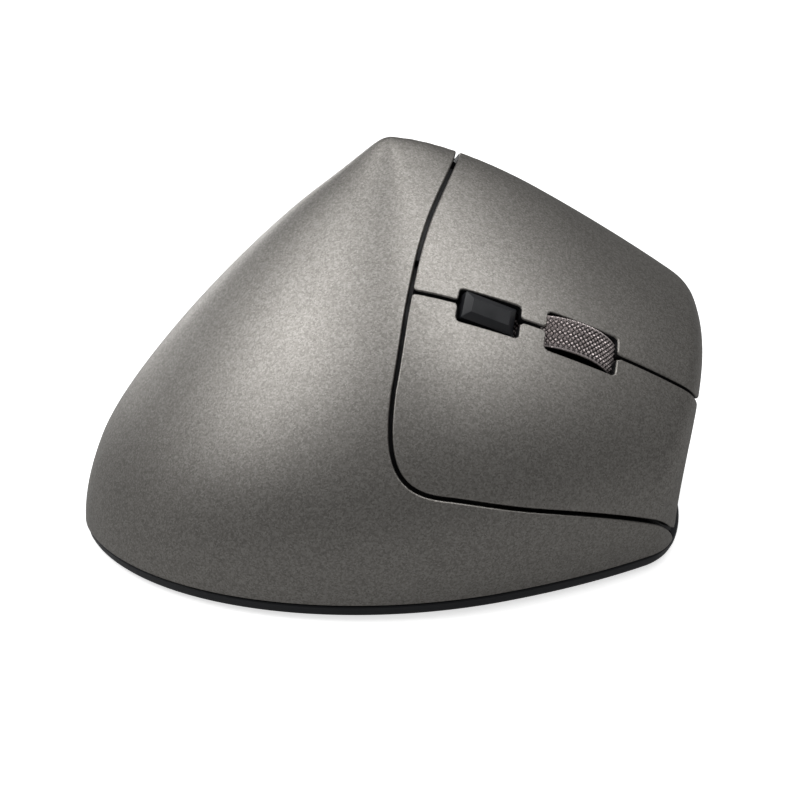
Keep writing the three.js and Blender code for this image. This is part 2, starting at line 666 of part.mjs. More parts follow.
function addBaseScrews() {
  const names = ['rear_finger_screw', 'rear_thumb_screw', 'front_thumb_screw', 'front_finger_screw'];
  [...BOSSES.palm, ...BOSSES.core].forEach(([x, y], i) => {
    const bottom = BASE.bottom + 0.1;
    const profile = lathe([
      [0, bottom], [SCREW.headRadius, bottom], [SCREW.headRadius, SCREW.headTop],
      [SCREW.shank, SCREW.headTop], [SCREW.shank, SCREW.top], [0, SCREW.top + 0.8],
    ], SMALL_ROUND);
    const slotDepth = box(0, 0, bottom, 2.6, 0.6, 1.2).add(box(0, 0, bottom, 0.6, 2.6, 1.2));
    const screw = solidOf(profile.rotateX(Math.PI / 2)).subtract(slotDepth);
    addPart(names[i], geometryOf(screw).translate(x, y, 0), STEEL);
  });
}

function addBattery() {
  const { x, y, z, radius, length } = BATTERY;
  const half = length / 2;
  const cell = lathe([
    [0, -half], [radius - 0.6, -half], [radius, 0.6 - half], [radius, half - 0.6], [radius - 0.6, half],
    [2.7, half], [2.7, half + 1.4], [0, half + 1.4],
  ]);
  addPart('battery', cell.translate(x, y, z), BATTERY_SLEEVE);
  const spring = coil(2.6, 0.4, 3, 3).rotateX(Math.PI / 2).translate(x, y - half - 0.7, z);
  addPart('battery_spring', spring, STEEL);
  addPart('battery_contact', new THREE.BoxGeometry(9, 0.5, 9).translate(x, y + half + 2.2, z), BRASS);
}

function addBatteryDoor() {
  const shrink = 2 * DOOR.clearance;
  const outline = roundedRectangle(BATTERY.x, BATTERY.y, DOOR.width - shrink, DOOR.length - shrink, DOOR.corner);
  let door = floorPrism(outline, BASE.bottom, BASE.top - 0.4);
  for (let ridge = 0; ridge < 4; ridge += 1) {
    door = door.subtract(box(BATTERY.x, BATTERY.y + 16 + ridge * 2, BASE.bottom, 9, 0.8, 0.8));
  }
  addSolid('battery_door', door, BLACK);
}

function addReceiver() {
  const { x, y, width, length, height } = RECEIVER;
  const bottom = BASE.bottom + 0.2;
  const middle = bottom + height / 2;
  const capLength = 6.6;
  const cap = roundedRectangle(x, y - (length - capLength) / 2, width, capLength, 1);
  addSolid('receiver_cap', floorPrism(cap, bottom, bottom + height), BLACK);
  const plugLength = length - capLength - GAP;
  const plugY = y + (length - plugLength) / 2;
  const plug = box(x, plugY, middle, 12, plugLength, 4.5)
    .subtract(box(x, plugY + 1, middle + 0.7, 11, plugLength, 2.4));
  addSolid('receiver_plug', plug, STEEL);
}

function addPowerSwitch() {
  const { x, y } = POWER_SWITCH;
  addSolid('power_switch', box(x, y, 5, 5, 10, 3).subtract(box(x, y, 3.6, 2.2, 6, 1.6)), BLACK);
  const knobY = y - POWER_SWITCH.travel / 2;
  const knob = box(x, knobY, 2.05, 3, 3.4, 2.1).add(box(x, knobY, 3.4, 1.4, 1.4, 1.2));
  addSolid('power_knob', knob, GLOSS_BLACK);
}

addPalmShell();
addFingerButtons();
addThumbPanel();
addSideButtons();
addNoseCore();
addDpiButton();
addMicroSwitches();
addButtonBoard();
addScrollWheel();
addWheelCarrier();
addCarrierSpring();
addSideSwitches();
addMainBoard();
addRibbonCable();
addBasePlate();
addFeet();
addBaseScrews();
addBattery();
addBatteryDoor();
addReceiver();
addPowerSwitch();
mouse.position.set(-BOX_CENTRE.x, -BOX_CENTRE.y, 0);

export default mouse;
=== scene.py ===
"""Looks of a tall upright computer mouse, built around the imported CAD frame.

The form is worked out in millimetres, as the CAD is, and each mesh is written in metres.
"""
import json
import math

import bmesh
import bpy
import numpy as np
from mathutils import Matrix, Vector


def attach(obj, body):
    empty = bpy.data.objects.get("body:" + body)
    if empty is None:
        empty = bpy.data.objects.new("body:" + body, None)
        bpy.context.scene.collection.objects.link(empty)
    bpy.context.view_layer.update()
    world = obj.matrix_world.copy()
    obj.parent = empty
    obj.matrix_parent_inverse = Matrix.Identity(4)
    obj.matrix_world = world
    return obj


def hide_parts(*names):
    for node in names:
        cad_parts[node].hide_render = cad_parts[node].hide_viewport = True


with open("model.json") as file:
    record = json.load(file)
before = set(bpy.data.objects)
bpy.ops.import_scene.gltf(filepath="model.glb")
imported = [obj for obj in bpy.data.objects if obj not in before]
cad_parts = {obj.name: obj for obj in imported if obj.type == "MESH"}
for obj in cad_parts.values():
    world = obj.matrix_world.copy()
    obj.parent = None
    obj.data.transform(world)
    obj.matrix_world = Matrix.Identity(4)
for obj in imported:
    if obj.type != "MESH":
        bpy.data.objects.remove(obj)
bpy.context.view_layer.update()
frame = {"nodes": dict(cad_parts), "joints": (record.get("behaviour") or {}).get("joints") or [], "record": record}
nodes = frame["nodes"]
joints = {joint["name"]: joint for joint in frame["joints"]}
MM = 0.001

# ---------------------------------------------------------------- driving dimensions, in mm

# The dome is a stack of egg-shaped slices. Each list runs from the foot to PROFILE_HEIGHT and
# gives the control heights of a Bezier curve.
PROFILE_HEIGHT = 79
FINGER_REACH = (38.8, 46.9, 41.7, 8.6, -25.9)
REAR_REACH = (59.2, 61.9, 36.5, 28.6, -16.1)
FRONT_REACH = (78, 92.6, 60.9, 34.7, 0.6)
DOME_AXIS_X = (-9.9, -18.9)
THUMB_HALF_WIDTH = 36
TOP_ROUNDING = 14
CROWN = {"height": 76.3, "slope": 0.1, "rounding": 14}
NOSE = {"y": 52.8, "lean": 0.13, "curve": 0.01, "x": -4, "z": 20, "rounding": 4}
THUMB = {"x": -13.3, "yaw": 0.2, "flare": 22, "flare_z": 4, "flare_fade": 13, "steepness": 0.8,
         "rounding": 8}
# Every ray from the heart leaves the body once. The field runs on to BELOW_DESK under the desk.
HEART = np.array([2, -2, 14.5])
BELOW_DESK = 6

# Where the frame's origin lies in the form's own coordinates.
BOX_CENTRE = np.array([1.8, -2.1, 0])

SHELL = 2.0
THUMB_SHELL = 1.7 * SHELL
SEAM = 0.65
SHELL_FOOT = 2.9
BUTTON_SEAM_Q = 22.1
LIP_DEPTH = 29
LIP_GAP = 0.9
NOSE_SETBACK = 0.5
LEDGE = {"inwards": 0.65, "half_width": 1.85, "from_q": 30, "depth": 2.4, "thickness": 0.9}
# How widely the edges of a panel's region are blended where two of them meet.
CORNERS = {"wide": 1.2, "nose": 0.8, "seam": 0.6, "slot": 0.5, "ridge": 0.4, "side_slot": 0.3}
DPI_SLOT = {"p": -11.2, "q": 21.6, "length": 11.4, "width": 6.6, "corner": 0.7}
WHEEL_SLOT = {"p": 6.5, "q": 21.9, "length": 14.2, "width": 7.9, "corner": 0.8}
SIDE_BUTTONS = {"y": 11, "z": 42.4, "slope": -0.198, "length": 19.1, "height": 7, "pitch": 19.8,
                "corner": 2.2, "slot_corner": 2.6, "proud": 1.1, "thickness": 2.6, "edge": 0.9}

# The finger frame: p runs along the seam between the buttons to the nose, q towards the ridge
# and n out of the finger side.
q_axis = np.array(joints["wheel_spin"]["axis"], float)
n_axis = -np.array(joints["wheel_press"]["axis"], float)
p_axis = np.cross(q_axis, n_axis)
wheel_centre = np.array(joints["wheel_spin"]["pos_m"], float) / MM + BOX_CENTRE

# The side frame: along the thumb wall to the nose, up, and depth inwards.
wall_yaw = math.atan(THUMB["yaw"])
along_axis = np.array([math.sin(wall_yaw), math.cos(wall_yaw), 0])
depth_axis = np.array([math.cos(wall_yaw), -math.sin(wall_yaw), 0])

# ---------------------------------------------------------------- outer form


def bezier(values, t):
    row = [np.full_like(t, value, dtype=float) for value in values]
    while len(row) > 1:
        row = [a + (b - a) * t for a, b in zip(row, row[1:])]
    return row[0]


def smooth_max(a, b, rounding):
    share = np.clip(0.5 + 0.5 * (a - b) / rounding, 0, 1)
    return b + (a - b) * share + rounding * share * (1 - share)


def slice_reach(values, t, axis=0):
    """How far a slice reaches from its axis. The reach runs out gently towards the top."""
    return np.maximum(smooth_max(bezier(values, t) - axis, 0, TOP_ROUNDING), 1)


def dome_field(x, y, z):
    """Negative inside the dome, and close to millimetres near its surface."""
    scale = 40
    clear_above = 1.15
    t = z / PROFILE_HEIGHT
    axis_x = bezier(DOME_AXIS_X, t)
    offset = x - axis_x
    half = np.where(offset > 0, slice_reach(FINGER_REACH, t, axis_x), THUMB_HALF_WIDTH)
    reach = np.where(y > 0, slice_reach(FRONT_REACH, t), slice_reach(REAR_REACH, t))
    dome = np.where(t > clear_above, scale, scale * (np.hypot(offset / half, y / reach) - 1))
    crown = z - CROWN["slope"] * x - CROWN["height"]
    return smooth_max(dome, crown, CROWN["rounding"])


def nose_field(points):
    """Negative behind the nose wall, which leans forward and curves back at its sides."""
    x, y, z = points.T
    sheet = NOSE["y"] + NOSE["lean"] * (z - NOSE["z"]) - NOSE["curve"] * (x - NOSE["x"]) ** 2
    return y - sheet


def thumb_field(x, y, z):
    """Negative on the finger side of the thumb wall, which flares out towards the desk."""
    height = smooth_max(z, THUMB["flare_z"], 6)
    flare = THUMB["flare"] * np.exp((THUMB["flare_z"] - height) / THUMB["flare_fade"])
    return THUMB["steepness"] * (THUMB["x"] + THUMB["yaw"] * y - flare - x)


def body_field(points):
    x, y, z = points.T
    front = smooth_max(dome_field(x, y, z), nose_field(points), NOSE["rounding"])
    body = smooth_max(front, thumb_field(x, y, z), THUMB["rounding"])
    return np.maximum(body, -BELOW_DESK - z)


def gradient(field, points, step=0.05):
    slopes = []
    for axis in np.eye(3) * step:
        slopes.append((field(points + axis) - field(points - axis)) / (2 * step))
    return np.stack(slopes, axis=1)


def unit(vectors):
    return vectors / np.maximum(np.linalg.norm(vectors, axis=1, keepdims=True), 1e-9)


def surface_points(directions):
    """Where rays from the heart leave the body."""
    inside = np.zeros(len(directions))
    outside = np.full(len(directions), 160.0)
    for _ in range(30):
        middle = (inside + outside) / 2
        within = body_field(HEART + directions * middle[:, None]) < 0
        inside = np.where(within, middle, inside)
        outside = np.where(within, outside, middle)
    return HEART + directions * inside[:, None]


# ---------------------------------------------------------------- outlines of the panels


def curve_through(points, steps=8):
    """A Catmull-Rom curve through the points, without its first point."""
    points = np.array(points, float)
    padded = np.vstack([points[:1], points, points[-1:]])
    curve = []
    for before, start, end, after in zip(padded, padded[1:], padded[2:], padded[3:]):
        out, arrive = (end - before) / 2, (after - start) / 2
        for t in np.arange(1, steps + 1) / steps:
            curve.append((2 * t ** 3 - 3 * t ** 2 + 1) * start + (t ** 3 - 2 * t ** 2 + t) * out
                         + (3 * t ** 2 - 2 * t ** 3) * end + (t ** 3 - t ** 2) * arrive)
    return curve


def bezier_through(controls, steps=16):
    t = np.arange(1, steps + 1) / steps
    return list(np.stack([bezier(axis, t) for axis in np.array(controls, float).T], axis=1))


def button_outline():
    """The field that both finger buttons fill, in p and q."""
    outline = [(48, 62), (-17, 62)]
    outline += curve_through([(-17, 62), (-23.4, 38.5), (-25, 21), (-24.4, 3)])
    outline += bezier_through([(-24.4, 3), (-23.4, -7), (-21, -14.4), (-11.5, -12.9)])
    outline += curve_through([(-11.5, -12.9), (4.4, -9.9), (34.8, -0.6), (48, 3.4)])
    return np.array(outline)


def thumb_outline():
    """The thumb panel's outline, along the thumb wall and up."""
    outline = [(62, -3), (62, 62), (10, 62), (10, 57.5)]
    outline += curve_through([(10, 57.5), (-18, 51), (-37, 36), (-45.5, 15), (-48, -3)])
    return np.array(outline)


def outline_distance(x, y, outline):
    """Signed distance to a closed outline, negative inside."""
    nearest = np.full(len(x), 1e9)
    crossings = np.zeros(len(x), int)
    for (ax, ay), (bx, by) in zip(outline, np.roll(outline, -1, axis=0)):
        ex, ey = bx - ax, by - ay
        share = np.clip(((x - ax) * ex + (y - ay) * ey) / (ex * ex + ey * ey), 0, 1)
        nearest = np.minimum(nearest, np.hypot(x - ax - share * ex, y - ay - share * ey))
        if ey != 0:
            beside = (ay > y) != (by > y)
            crossings += beside & (x < ax + (y - ay) * ex / ey)
    return np.where(crossings % 2 == 1, -nearest, nearest)


def box_distance(x, y, length, width, corner):
    """Signed distance to a rounded rectangle about the origin, negative inside."""
    dx = np.abs(x) - (length / 2 - corner)
    dy = np.abs(y) - (width / 2 - corner)
    return np.hypot(np.maximum(dx, 0), np.maximum(dy, 0)) + np.minimum(np.maximum(dx, dy), 0) - corner


def slot_distance(points, slot):
    p, q = points @ p_axis - slot["p"], points @ q_axis - slot["q"]
    return box_distance(p, q, slot["length"], slot["width"], slot["corner"])


BUTTON_OUTLINE = button_outline()
THUMB_OUTLINE = thumb_outline()


def button_distance(points):
    return outline_distance(points @ p_axis, points @ q_axis, BUTTON_OUTLINE)


def thumb_wall_coordinates(points):
    return points @ along_axis - THUMB["x"] * along_axis[0], points[:, 2]


def thumb_distance(points):
    """Inside the thumb panel's outline and on the thumb side of the ridge."""
    along, up = thumb_wall_coordinates(points)
    depth = points @ depth_axis - THUMB["x"] * depth_axis[0]
    outline = outline_distance(along, up, THUMB_OUTLINE)
    return smooth_max(outline, depth - THUMB_SHELL, CORNERS["ridge"])


def button_hole_distance(points):
    """The opening in the shells that the two finger buttons fill, lip included."""
    lip = LIP_DEPTH - LIP_GAP - points @ n_axis
    return smooth_max(button_distance(points) - SEAM / 2, lip, CORNERS["seam"])


def nose_edge(points):
    """Where the panels end, a little behind the nose wall."""
    return nose_field(points) + NOSE_SETBACK


def finger_button(points):
    lip = LIP_DEPTH - points @ n_axis
    field = smooth_max(button_distance(points) + SEAM / 2, lip, CORNERS["wide"])
    field = smooth_max(field, nose_edge(points), CORNERS["nose"])
    for slot in (DPI_SLOT, WHEEL_SLOT):
        field = smooth_max(field, -slot_distance(points, slot), CORNERS["slot"])
    return field


def left_button(points):
    seam = BUTTON_SEAM_Q + SEAM / 2 - points @ q_axis
    return smooth_max(finger_button(points), seam, CORNERS["seam"])


def right_button(points):
    seam = points @ q_axis - BUTTON_SEAM_Q + SEAM / 2
    return smooth_max(finger_button(points), seam, CORNERS["seam"])


def palm_shell(points):
    field = smooth_max(SHELL_FOOT - points[:, 2], nose_edge(points), CORNERS["wide"])
    field = smooth_max(field, -button_hole_distance(points), CORNERS["seam"])
    return smooth_max(field, SEAM / 2 - thumb_distance(points), CORNERS["seam"])


def seam_ledge(points):
    """A strip under the seam near the ridge, where light would otherwise show through."""
    strip = np.abs(button_distance(points) + LEDGE["inwards"]) - LEDGE["half_width"]
    return smooth_max(strip, LEDGE["from_q"] - points @ q_axis, CORNERS["ridge"])


def side_row_coordinates(points):
    """Along and across the row of thumb buttons, from its middle."""
    along, up = thumb_wall_coordinates(points)
    turn = math.atan(SIDE_BUTTONS["slope"])
    x, y = along - SIDE_BUTTONS["y"], up - SIDE_BUTTONS["z"]
    return x * math.cos(turn) + y * math.sin(turn), y * math.cos(turn) - x * math.sin(turn)


def side_slot(points):
    """Signed distance to the opening that both thumb buttons share."""
    x, y = side_row_coordinates(points)
    length = SIDE_BUTTONS["pitch"] + SIDE_BUTTONS["length"] + 2 * SEAM
    height = SIDE_BUTTONS["height"] + 2 * SEAM
    return box_distance(x, y, length, height, SIDE_BUTTONS["slot_corner"])


def thumb_panel(points):
    foot = SHELL_FOOT - points[:, 2]
    field = smooth_max(thumb_distance(points) + SEAM / 2, foot, CORNERS["seam"])
    field = smooth_max(field, nose_edge(points), CORNERS["wide"])
    field = smooth_max(field, SEAM / 2 - button_hole_distance(points), CORNERS["seam"])
    return smooth_max(field, -side_slot(points), CORNERS["side_slot"])


def side_button(side):
    """The outline of the front (1) or rear (-1) thumb button."""
    def region(points):
        x, y = side_row_coordinates(points)
        from_middle = x - side * SIDE_BUTTONS["pitch"] / 2
        return box_distance(from_middle, y, SIDE_BUTTONS["length"], SIDE_BUTTONS["height"],
                            SIDE_BUTTONS["corner"])
    return region


# ---------------------------------------------------------------- panels cut from the form


class Chart:
    """Flattens the body about an axis from the heart, with equal angles along every radius."""

    def __init__(self, axis):
        self.axis = np.array(axis, float) / np.linalg.norm(axis)
        self.side = np.cross(self.axis, [0.0, 0.6, 0.8])
        self.side /= np.linalg.norm(self.side)
        self.up = np.cross(self.side, self.axis)

    def directions(self, flat):
        angle = np.hypot(flat[:, 0], flat[:, 1])
        reach = np.where(angle > 1e-9, np.sin(angle) / np.maximum(angle, 1e-9), 1)[:, None]
        return (np.cos(angle)[:, None] * self.axis + reach * flat[:, :1] * self.side
                + reach * flat[:, 1:2] * self.up)


def along_surface(field, points, normals):
    """The field's value and its slope along the surface, both in the surface's own millimetres."""
    slope = gradient(field, points)
    slope -= (slope * normals).sum(axis=1, keepdims=True) * normals
    steepness = np.linalg.norm(slope, axis=1)
    return field(points) / np.clip(steepness, 0.35, 2.5), unit(slope)


EDGE_TURNS = np.radians([0, 25, 50, 72, 90])
CHART_SCALE = 40
FAR_OUTSIDE = 9
NEIGHBOURS = [(i, j) for i in (-1, 0, 1) for j in (-1, 0, 1) if (i, j) != (0, 0)]


def grid_mesh(flat, distance, wide):
    """The chart's squares over the region and one ring around it, with the distance as height."""
    keep = distance.reshape(wide, wide) < 0
    near = keep.copy()
    for shift in NEIGHBOURS:
        near |= np.roll(keep, shift, axis=(0, 1))
    mesh = bmesh.new()
    made = {}

    def vertex(index):
        if index not in made:
            made[index] = mesh.verts.new((*flat[index] * CHART_SCALE, distance[index]))
        return made[index]

    for i, j in zip(*np.nonzero(near[:-1, :-1] & near[1:, 1:] & near[1:, :-1] & near[:-1, 1:])):
        corner = i * wide + j
        mesh.faces.new([vertex(k) for k in (corner, corner + wide, corner + wide + 1, corner + 1)])
    return mesh


def cut_chart(chart, field, reach, step, edge):
    """Flat vertices, edge distances and faces of the region, with lines along its rounded edge."""
    weld_distance = 1e-5
    count = int(reach / step)
    ticks = np.arange(-count, count + 1) * step
    u, v = np.meshgrid(ticks, ticks, indexing="ij")
    flat = np.stack([u.ravel(), v.ravel()], axis=1)
    points = surface_points(chart.directions(flat))
    distance, _ = along_surface(field, points, unit(gradient(body_field, points)))
    distance[np.hypot(flat[:, 0], flat[:, 1]) > reach] = FAR_OUTSIDE
    mesh = grid_mesh(flat, distance, len(ticks))
    for turn in EDGE_TURNS:
        level = -edge * (1 - math.sin(turn))
        geometry = mesh.verts[:] + mesh.edges[:] + mesh.faces[:]
        bmesh.ops.bisect_plane(mesh, geom=geometry, dist=weld_distance, plane_co=(0, 0, level),
                               plane_no=(0, 0, 1), clear_outer=level == 0)
    bmesh.ops.triangulate(mesh, faces=[face for face in mesh.faces if len(face.verts) > 4])
    mesh.verts.index_update()
    coordinates = np.array([vert.co for vert in mesh.verts])
    faces = [[vert.index for vert in face.verts] for face in mesh.faces]
    mesh.free()
    return coordinates[:, :2] / CHART_SCALE, coordinates[:, 2], faces


def mesh_object(name, points, faces, normals=None):
    """A smooth mesh object from millimetre points, with a normal for each face corner if given."""
    data = bpy.data.meshes.new(name)
    data.from_pydata(((np.asarray(points) - BOX_CENTRE) * MM).tolist(), [], faces)
    data.polygons.foreach_set("use_smooth", [True] * len(data.polygons))
    if normals is not None:
        data.normals_split_custom_set(normals)
    data.update()
    obj = bpy.data.objects.new(name, data)
    bpy.context.scene.collection.objects.link(obj)
    return obj


def turned_outwards(faces, points, out):
    """The faces, all turned over if the first one looks into the body."""
    first = faces[0]
    a, b, c = (points[index] for index in first[:3])
    if np.dot(np.cross(b - a, c - a), out[first[0]]) < 0:
        return [face[::-1] for face in faces]
    return faces


def rim_edges(faces):
    """The edges that only one face uses, each in that face's direction."""
    used = {}
    for face in faces:
        for edge in zip(face, face[1:] + face[:1]):
            used[edge] = True
    return [(start, end) for start, end in used if (end, start) not in used]


def panel(name, axis, field, reach=1.9, step=0.0157, edge=0.3, thickness=SHELL, proud=0.0):
    """A closed shell piece over the region where field is negative, with rounded outer edges.

    The chart's reach and step are angles in radians. The outer faces have the first material,
    and the walls and inner faces the second.
    """
    chart = Chart(axis)
    flat, distance, faces = cut_chart(chart, field, reach, step, edge)
    surface = surface_points(chart.directions(flat))
    out = unit(gradient(body_field, surface))
    _, aside = along_surface(field, surface, out)
    sine = np.clip(1 + distance / edge, 0, 1)
    cosine = np.sqrt(1 - sine ** 2)
    drop = edge * (1 - cosine)
    outer = surface + out * (proud - drop)[:, None]
    outer_normals = unit(out * cosine[:, None] + aside * sine[:, None])
    inner = surface - out * thickness
    count = len(surface)
    faces = turned_outwards(faces, outer, out)
    walls = [(end, start, start + count, end + count) for start, end in rim_edges(faces)]
    backs = [[index + count for index in reversed(face)] for face in faces]
    normals = [outer_normals[index] for face in faces for index in face]
    normals += [aside[index % count] for wall in walls for index in wall]
    normals += [-out[index - count] for face in backs for index in face]
    piece = mesh_object(name, np.vstack([outer, inner]), faces + walls + backs, normals)
    material_indices = [0] * len(faces) + [1] * len(walls + backs)
    piece.data.polygons.foreach_set("material_index", material_indices)
    return piece


# ---------------------------------------------------------------- materials


class Shader:
    """A node material with a few short ways to add and join nodes."""

    def __init__(self, name, color, roughness, metallic=0.0):
        self.material = bpy.data.materials.new(name)
        self.material.use_nodes = True
        self.tree = self.material.node_tree
        self.surface = self.tree.nodes["Principled BSDF"]
        self.surface.inputs["Base Color"].default_value = (*color, 1)
        self.surface.inputs["Roughness"].default_value = roughness
        self.surface.inputs["Metallic"].default_value = metallic
        self.place = self.tree.nodes.new("ShaderNodeTexCoord").outputs["Object"]

    def node(self, kind, links=None, **settings):
        """A new node, its inputs joined as in links and its settings or inputs given values."""
        node = self.tree.nodes.new("ShaderNode" + kind)
        for key, value in settings.items():
            if hasattr(node, key):
                setattr(node, key, value)
            else:
                node.inputs[key.replace("_", " ")].default_value = value
        for key, output in (links or {}).items():
            self.tree.links.new(output, node.inputs[key])
        return node

    def noise(self, size_mm, detail):
        """Noise whose features are about size_mm wide."""
        node = self.node("TexNoise", {"Vector": self.place}, Detail=detail)
        node.inputs["Scale"].default_value = 1 / (size_mm * MM)
        return node.outputs["Fac"]

    def spread(self, value, low, high, from_low=0.3, from_high=0.7):
        """The value stretched so that from_low becomes low and from_high becomes high."""
        node = self.node("MapRange", {"Value": value})
        for key, number in zip(("From Min", "From Max", "To Min", "To Max"),
                               (from_low, from_high, low, high)):
            node.inputs[key].default_value = number
        return node.outputs["Result"]

    def colours(self, value, *stops):
        node = self.node("ValToRGB", {"Fac": value})
        ramp = node.color_ramp
        while len(ramp.elements) < len(stops):
            ramp.elements.new(0.5)
        for element, (position, color) in zip(ramp.elements, stops):
            element.position = position
            element.color = (*color, 1)
        return node.outputs["Color"]

    def bump(self, height, depth_mm, strength=1.0, normal=None):
        node = self.node("Bump", {"Height": height})
        node.inputs["Distance"].default_value = depth_mm * MM
        node.inputs["Strength"].default_value = strength
        if normal is not None:
            self.tree.links.new(normal, node.inputs["Normal"])
        return node.outputs["Normal"]

    def join(self, **outputs):
        for key, output in outputs.items():
            self.tree.links.new(output, self.surface.inputs[key.replace("_", " ")])
        return self.material


def metallic_paint():
    """Warm gunmetal paint: fine metal flakes tip the normal at random, under satin lacquer."""
    shader = Shader("metallic_paint", (0.3, 0.29, 0.275), 0.44, metallic=0.88)
    flakes = shader.node("TexVoronoi", {"Vector": shader.place})
    flakes.inputs["Scale"].default_value = 1 / (0.26 * MM)
    clumps = shader.noise(0.55, detail=3)
    grain = shader.spread(flakes.outputs["Color"], 0, 1, 0, 1)
    mottled = shader.node("MixRGB", {"Color1": flakes.outputs["Color"], "Color2": clumps}, Fac=0.35)
    color = shader.colours(mottled.outputs["Color"], (0.2, (0.2, 0.19, 0.176)),
                           (0.5, (0.272, 0.26, 0.243)), (0.85, (0.38, 0.366, 0.344)))
    rough = shader.spread(shader.noise(14, detail=3), 0.43, 0.48)
    normal = shader.bump(grain, 0.014, 0.6)
    normal = shader.bump(clumps, 0.02, 0.4, normal)
    return shader.join(Base_Color=color, Roughness=rough, Normal=normal)


def moulded_plastic(name, color, roughness=0.5, grain_mm=0.35, depth_mm=0.02):
    """Moulded plastic with spark-erosion grain and a slightly uneven sheen."""
    shader = Shader(name, color, roughness)
    lighter = tuple(min(channel * 1.25 + 0.002, 1) for channel in color)
    tint = shader.colours(shader.noise(5, detail=4), (0.35, color), (0.7, lighter))
    rough = shader.spread(shader.noise(2.5, detail=5), roughness - 0.06, roughness + 0.08)
    normal = shader.bump(shader.noise(grain_mm, detail=3), depth_mm, 0.5)
    return shader.join(Base_Color=tint, Roughness=rough, Normal=normal)


def polished_metal(name, color, roughness):
    """Metal with fine directionless scuffs."""
    grain_mm = 0.3
    shader = Shader(name, color, roughness, metallic=1.0)
    darker = tuple(channel * 0.72 for channel in color)
    tint = shader.colours(shader.noise(1.2, detail=5), (0.3, darker), (0.65, color))
    rough = shader.spread(shader.noise(grain_mm, detail=4), roughness - 0.08, roughness + 0.12)
    normal = shader.bump(shader.noise(grain_mm, detail=4), 0.006, 0.5)
    return shader.join(Base_Color=tint, Roughness=rough, Normal=normal)


def knurled_metal():
    """Warm plated metal, with a painted highlight on the crests and painted shade, near black, in the grooves."""
    shader = Shader("knurled_metal", (0.6, 0.54, 0.53), 0.45, metallic=1.0)
    depth = shader.node("Attribute", attribute_name="groove").outputs["Fac"]
    # The groove depth picks the colour: a painted highlight on the crests, and painted shade that goes near black
    # deep in the grooves.
    color = shader.colours(depth, (0.0, (0.78, 0.7, 0.69)), (0.45, (0.55, 0.49, 0.485)),
                           (0.8, (0.02, 0.018, 0.018)))
    rough = shader.spread(shader.noise(0.5, detail=4), 0.38, 0.52)
    normal = shader.bump(shader.noise(0.3, detail=3), 0.006, 0.5)
    return shader.join(Base_Color=color, Roughness=rough, Normal=normal)


PAINT = metallic_paint()
BLACK = moulded_plastic("black_plastic", (0.012, 0.0125, 0.014))
RIM = moulded_plastic("base_black", (0.01, 0.0115, 0.015), 0.42)
GLOSS = moulded_plastic("gloss_black", (0.0135, 0.0145, 0.017), 0.36, grain_mm=0.8,
                        depth_mm=0.004)
GRIP = moulded_plastic("soft_grip", (0.03, 0.0298, 0.0295), 0.62, grain_mm=0.6, depth_mm=0.05)
GLIDE = moulded_plastic("glide_film", (0.006, 0.006, 0.0065), 0.33, grain_mm=1.5, depth_mm=0.004)
WHITE = moulded_plastic("white_acetal", (0.62, 0.62, 0.58), 0.4)
CIRCUIT = moulded_plastic("circuit_board", (0.012, 0.09, 0.035), 0.35, grain_mm=1.2)
RIBBON = moulded_plastic("ribbon_film", (0.45, 0.22, 0.05), 0.35)
SLEEVE = moulded_plastic("battery_sleeve", (0.03, 0.11, 0.2), 0.28, grain_mm=3)
KNURL = knurled_metal()
STEEL = polished_metal("zinc_steel", (0.58, 0.58, 0.6), 0.3)
BRASS = polished_metal("brass", (0.7, 0.5, 0.22), 0.28)
LENS = moulded_plastic("clear_lens", (0.5, 0.55, 0.6), 0.1)


def finish(piece, body, slot, material, *replaced):
    """Gives the piece its material and body, and hides the CAD nodes that it stands in for; the slot is not used.
    """
    piece.data.materials.append(material)
    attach(piece, body)
    if replaced:
        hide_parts(*replaced)
    return piece


# ---------------------------------------------------------------- shells and buttons


def add_shells():
    """The painted and soft panels, bare black plastic on their seam walls and inner faces."""
    pieces = [finish(panel("palm_cover", (0.25, -0.75, 0.62), palm_shell, reach=2.6, edge=0.35),
                     "body", "grey_paint", PAINT, "palm_shell"),
              finish(panel("left_button_plate", (0.35, 0.3, 0.9), left_button),
                     "left_button", "grey_paint", PAINT, "left_button"),
              finish(panel("right_button_plate", (0.9, 0.1, 0.5), right_button),
                     "right_button", "grey_paint", PAINT, "right_button"),
              finish(panel("thumb_grip", (-0.9, 0.1, 0.4), thumb_panel, edge=0.35),
                     "body", "grip", GRIP, "thumb_panel")]
    for side, body in ((1, "forward_side_button"), (-1, "back_side_button")):
        cap = panel(body + "_cap", (-0.9, 0.1, 0.4), side_button(side), reach=1.2, step=0.008,
                    edge=SIDE_BUTTONS["edge"], thickness=SIDE_BUTTONS["thickness"],
                    proud=SIDE_BUTTONS["proud"])
        pieces.append(finish(cap, body, "gloss_black", GLOSS, body))
    for piece in pieces:
        piece.data.materials.append(BLACK)
    ledge = panel("seam_ledge", (0.1, 0.1, 1), seam_ledge, reach=1.2,
                  thickness=LEDGE["depth"] + LEDGE["thickness"], proud=-LEDGE["depth"])
    finish(ledge, "body", "black_plastic", BLACK)
    ledge.data.materials.append(BLACK)


# ---------------------------------------------------------------- wheel and DPI button

WHEEL = {"radius": 11.4, "width": 6.2, "rim": 3.3, "knurl": 1.0, "groove": 0.35, "crown": 0.12,
         "chamfer": 0.45, "side_land": 0.12}
KNURL_STEPS = {"around_each": 6, "across": 36}


def finger_point(p, q, n):
    return p * p_axis + q * q_axis + n * n_axis


def surface_height(p, q):
    """The distance n from the form's origin to the surface above a point of the finger frame."""
    inside, outside = 26.0, 70.0
    for _ in range(30):
        middle = (inside + outside) / 2
        if body_field(finger_point(p, q, middle)[None, :])[0] < 0:
            inside = middle
        else:
            outside = middle
    return inside


